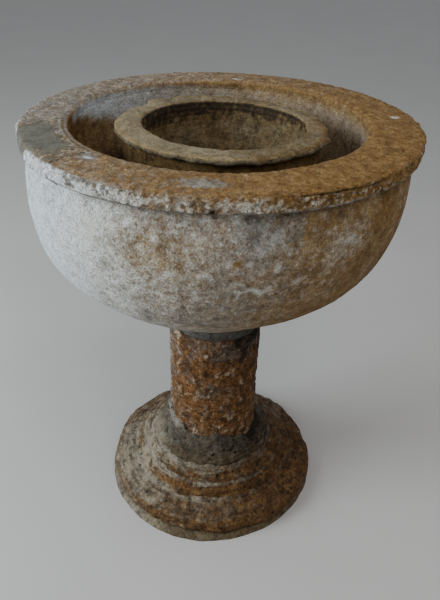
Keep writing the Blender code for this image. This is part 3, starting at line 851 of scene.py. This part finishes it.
def make_floor_bed():
    """Mortar that the base stone is bedded on, with a ragged edge on the floor."""
    section = (
        stretch(HIDDEN, (DRAIN_HOLE, 0.0), (0.2, 0.0)) + corner(BED_RADIUS + 0.002, 0.0, FINE)
        + stretch(FINE, (BED_RADIUS - 0.002, 0.003), (BASE_RADIUS - 0.001, 0.009),
                  (BASE_RADIUS - 0.01, 0.013))
        + stretch(HIDDEN, (0.2, 0.009), (DRAIN_HOLE, 0.009)))
    form = Surface(section, 400)
    rim = ease(form.radius, 0.284, 0.3)
    ragged = form.by_bearing({
        150: -0.01, 185: -0.009, 205: -0.005, 228: 0.002, 255: 0.005, 275: 0.003, 295: -0.003,
        330: -0.008, 20: -0.008, 90: -0.006})
    form.widen(rim * (ragged + 0.004 * form.rough(0.09, 90, 4, 0.1)))
    form.lift(rim * form.rise(0.001, 0.004) * (0.003 * form.rough(0.03, 91)))
    blotch = form.rough(0.04, 92)
    # painted light on the left side, painted shade on the right
    form.lime_and_light = 0.22 + 0.3 * blotch + 0.34 * form.sector(170, 245, 14)
    form.rust = 0.7 + 0.3 * blotch - 0.2 * form.sector(170, 240, 14)
    form.grime_and_shade = 0.08 + 0.25 * form.sector(285, 390, 20) + 0.2 * blotch
    return form.mesh("floor_bed")


def make_repair():
    """Smooth mortar patch let into the left of the rim and smeared down over the band."""
    top, side = RIM_TOP, RIM_RADIUS
    section = (
        stretch(FINE, (0.34, top - 0.003), (0.344, top), (0.37, top), (0.4, top),
                (side - 0.006, top), (side - 0.001, top - 0.006), (side, BAND_BOTTOM + 0.016),
                (side - 0.001, BAND_BOTTOM + 0.006), (side - 0.007, BAND_BOTTOM),
                (0.4145, BAND_BOTTOM - 0.009), (0.412, BAND_BOTTOM - 0.02))
        + stretch(0.008, (0.4, BAND_BOTTOM - 0.02), (0.4, BAND_BOTTOM - 0.004),
                  (0.412, BAND_BOTTOM + 0.012), (0.408, top - 0.014), (0.37, top - 0.014),
                  (0.342, top - 0.014)))
    form = Surface(section, 200, start=188, sweep=36)
    hand_cut(form, 1.0)
    cover = patch_cover(form)
    shown = ease(form.facing_up + form.facing_out, -0.2, 0.3)
    on_side = ease(form.facing_out, 0.3, 0.9)
    form.push(shown * (0.0008 * cover - 0.0065 * (1 - cover) - 0.0018 * on_side))
    form.push(cover * shown * (0.0012 * form.rough(0.05, 98, 2) + 0.0004 * form.rough(0.012, 99, 2)))
    form.points[:, 0] += lean(form.height)
    blotch = form.rough(0.04, 100)
    edge = ease(cover, 0.98, 0.75)
    form.lime_and_light = 0.12 + 0.25 * blotch + 0.1 * edge
    form.rust = 0.15 + 0.25 * blotch + 0.35 * edge + 0.7 * on_side
    form.grime_and_shade = 0.08 + 0.2 * ease(blotch, 0.1, 0.7)
    return form.mesh("rim_repair")


def make_plug():
    """Turned wooden plug with a knob."""
    low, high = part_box("drain_plug")[0][2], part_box("drain_plug")[1][2]
    outline = [(0.0002, low), (0.015, low), (0.0158, low + 0.002), (0.0188, 0.789), (0.0195, 0.795),
               (0.0168, 0.8), (0.0086, 0.803), (0.0074, 0.809), (0.0128, 0.815), (0.0157, 0.822),
               (0.0142, 0.83), (0.008, high - 0.001), (0.0002, high)]
    form = Surface([(radius, height, 0.0012) for radius, height in outline], 64)
    form.push(0.0002 * form.rough(0.004, 110, 3, 0.2) * ease(form.radius, 0.002, 0.006))
    form.grime_and_shade = ease(np.abs(form.height - 0.806), 0.006, 0.0) * 0.5
    return form.mesh("wooden_plug")


# ---- the materials used

def look(*colours, **options):
    """Cool tones, warm tones and lime wash: three colours each, dark to light, in thousandths."""
    bright = [tuple(part / 1000 for part in colour) for colour in colours]
    return dict(cool=bright[:3], warm=bright[3:6], lime_and_light=bright[6:], **options)


BOWL_STONE = look(
    (104, 91, 73), (198, 180, 152), (332, 308, 268),
    (100, 47, 11), (190, 102, 27), (318, 194, 68),
    (310, 300, 280), (490, 510, 515), (730, 815, 900), pitted=0.42)
BASIN_STONE = look(
    (75, 62, 36), (145, 124, 78), (225, 198, 136),
    (50, 27, 8), (130, 78, 26), (225, 142, 55),
    (175, 155, 100), (265, 238, 160), (380, 352, 260))
SHAFT_STONE = look(
    (45, 31, 20), (110, 82, 58), (190, 150, 115),
    (34, 14, 4), (130, 53, 14), (275, 132, 43),
    (170, 130, 95), (290, 240, 190), (440, 390, 330))
BASE_STONE = look(
    (48, 39, 27), (102, 85, 61), (172, 147, 110),
    (26, 13, 4), (88, 41, 12), (190, 99, 33),
    (130, 107, 78), (210, 183, 142), (350, 325, 275))
MORTAR = look(
    (25, 20, 13), (64, 54, 38), (118, 103, 78),
    (32, 21, 10), (70, 49, 26), (120, 90, 54),
    (110, 100, 80), (175, 165, 138), (260, 250, 220))
JOINT_MORTAR = look(
    (38, 34, 28), (84, 76, 65), (135, 124, 108),
    (30, 19, 9), (62, 40, 19), (110, 74, 37),
    (140, 122, 100), (220, 195, 165), (320, 290, 255))
BED_LIME = look(
    (48, 40, 28), (100, 86, 64), (160, 142, 110),
    (42, 27, 12), (92, 63, 31), (150, 110, 62),
    (150, 132, 102), (230, 212, 172), (340, 320, 275))
REPAIR_LIME = look(
    (90, 85, 66), (130, 125, 100), (175, 170, 140),
    (85, 60, 32), (140, 104, 60), (200, 155, 95),
    (150, 145, 122), (200, 195, 168), (260, 255, 225), pitted=0.15, grain=0.008)


def wood():
    """Dark turned wood with grain along the plug."""
    paint = Paint("plug_wood")
    drawn = paint.node("VectorMath", {0: paint.place, 1: (1.0, 1.0, 0.08)}, operation="MULTIPLY")
    grain = paint.noise(0.0016, 4.0, 0.6, place=drawn.outputs[0])
    colour = paint.mix(paint.ramp(grain, 0.35, 0.65), (0.05, 0.026, 0.012), (0.135, 0.075, 0.036))
    colour = paint.mix(paint.math("MULTIPLY", paint.mask("grime_and_shade"), 0.8), colour, (0.015, 0.01, 0.006))
    return paint.finish(colour, paint.ramp(grain, 0.3, 0.7, 0.5, 0.75), grain, 0.0003, 0.6)


def metal(name, dark, light, metallic, roughness, size=0.01):
    """Old metal: dull, blotched and finely pitted."""
    paint = Paint(name)
    blotch = paint.noise(size, 5.0, 0.65)
    fine = paint.noise(size * 0.15, 3.0, 0.6, shift=4.0)
    colour = paint.mix(paint.ramp(blotch, 0.35, 0.65), dark, light)
    paint.shader.inputs["Metallic"].default_value = metallic
    dulled = paint.ramp(fine, 0.3, 0.7, roughness - 0.1, roughness + 0.1)
    return paint.finish(colour, dulled, fine, 0.0005, 0.6)


def bedding(name):
    """Plain mortar of the beds that no attribute reaches."""
    paint = Paint(name)
    broad = paint.noise(0.03, 4.0, 0.6)
    fine = paint.noise(0.004, 4.0, 0.7, shift=5.0)
    colour = paint.mix(paint.ramp(broad, 0.35, 0.65), (0.13, 0.115, 0.09), (0.25, 0.225, 0.185))
    colour = paint.mix(paint.ramp(fine, 0.58, 0.72, 0.0, 0.6), colour, (0.06, 0.052, 0.04))
    return paint.finish(colour, 0.93, fine, 0.0012, 0.7)


def dress():
    """Make every piece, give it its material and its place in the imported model."""
    pieces = (
        (make_bowl, "bowl", "bowl_weathered", BOWL_STONE),
        (make_rim, "bowl", "rim_weathered", BOWL_STONE),
        (make_basin, "inner_basin", "basin_weathered", BASIN_STONE),
        (make_shaft, "shaft", "shaft_weathered", SHAFT_STONE),
        (make_joint, "bowl_joint_mortar", "joint_weathered", JOINT_MORTAR),
        (make_haunching, "shaft_haunching", "haunching_weathered", MORTAR),
        (make_base, "stepped_base", "base_weathered", BASE_STONE),
        (make_floor_bed, "floor_bed_mortar", "bed_weathered", BED_LIME),
        (make_repair, "rim_repair_mortar", "repair_weathered", REPAIR_LIME))
    for make, node, name, tones in pieces:
        piece = make()
        piece.data.materials.append(stone(name, **tones))
        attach(piece, FONT)
        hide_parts(node)
    plug = make_plug()
    plug.data.materials.append(wood())
    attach(plug, PLUG)
    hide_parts("drain_plug")

    iron = metal("dowel_iron", (0.03, 0.02, 0.014), (0.11, 0.07, 0.045), 0.6, 0.75)
    lead = metal("pipe_lead", (0.12, 0.125, 0.135), (0.24, 0.25, 0.26), 0.9, 0.5)
    mortar = bedding("bed_mortar")
    looks = {"drain_pipe": lead, "shaft_bed_mortar": mortar, "basin_bed_mortar": mortar}
    for level in ("lower", "upper"):
        for side in ("left", "right"):
            looks[f"{level}_dowel_{side}"] = iron
    for node, material in looks.items():
        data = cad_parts[node].data
        data.materials.clear()
        data.materials.append(material)


# ---- camera, light and floor

EYE = (0.0, -1.353, 1.442)
FOCAL_LENGTH = 37.25      # millimetres, on a sensor 36 wide
LOOK_DOWN, LOOK_RIGHT, ROLL = (math.radians(angle) for angle in (32.81, 0.5, 1.75))
LIT_POINT = Vector((0, 0, 0.6))
# Name, place, size, power and colour
LAMPS = (("window", (-3.4, -0.9, 1.9), 2.2, 156, (0.87, 0.95, 1.0)),
         ("overhead", (0.6, -1.4, 3.6), 3.0, 50, (1.0, 0.97, 0.93)))


def stage_set():
    """Plain pale floor, soft light mostly from the left, camera at a standing person's eye."""
    bpy.ops.mesh.primitive_plane_add(size=60)
    floor = bpy.context.object
    floor.name = "floor"
    paint = Paint("floor_pale")
    soft = paint.noise(0.5, 3.0, 0.5)
    colour = paint.mix(soft, (0.5, 0.49, 0.47), (0.56, 0.55, 0.53))
    floor.data.materials.append(paint.finish(colour, 0.9, soft, 0.001, 0.1))

    world = bpy.data.worlds.new("studio")
    world.use_nodes = True
    sky = world.node_tree.nodes["Background"].inputs
    sky["Color"].default_value = (0.92, 0.95, 1.0, 1.0)
    sky["Strength"].default_value = 0.385
    bpy.context.scene.world = world

    for name, place, size, power, tint in LAMPS:
        lamp = bpy.data.lights.new(name, "AREA")
        lamp.size, lamp.energy, lamp.color = size, power, tint
        light = bpy.data.objects.new(name, lamp)
        light.location = place
        light.rotation_euler = (LIT_POINT - Vector(place)).to_track_quat("-Z", "Y").to_euler()
        bpy.context.collection.objects.link(light)

    lens = bpy.data.cameras.new("camera")
    lens.sensor_width, lens.lens = 36.0, FOCAL_LENGTH
    lens.clip_end = 200.0
    camera = bpy.data.objects.new("camera", lens)
    bpy.context.collection.objects.link(camera)
    aim = Euler((math.pi / 2 - LOOK_DOWN, 0.0, -LOOK_RIGHT)).to_matrix() @ Matrix.Rotation(ROLL, 3, "Z")
    camera.matrix_world = Matrix.Translation(EYE) @ aim.to_4x4()
    bpy.context.scene.camera = camera


stage_set()
dress()
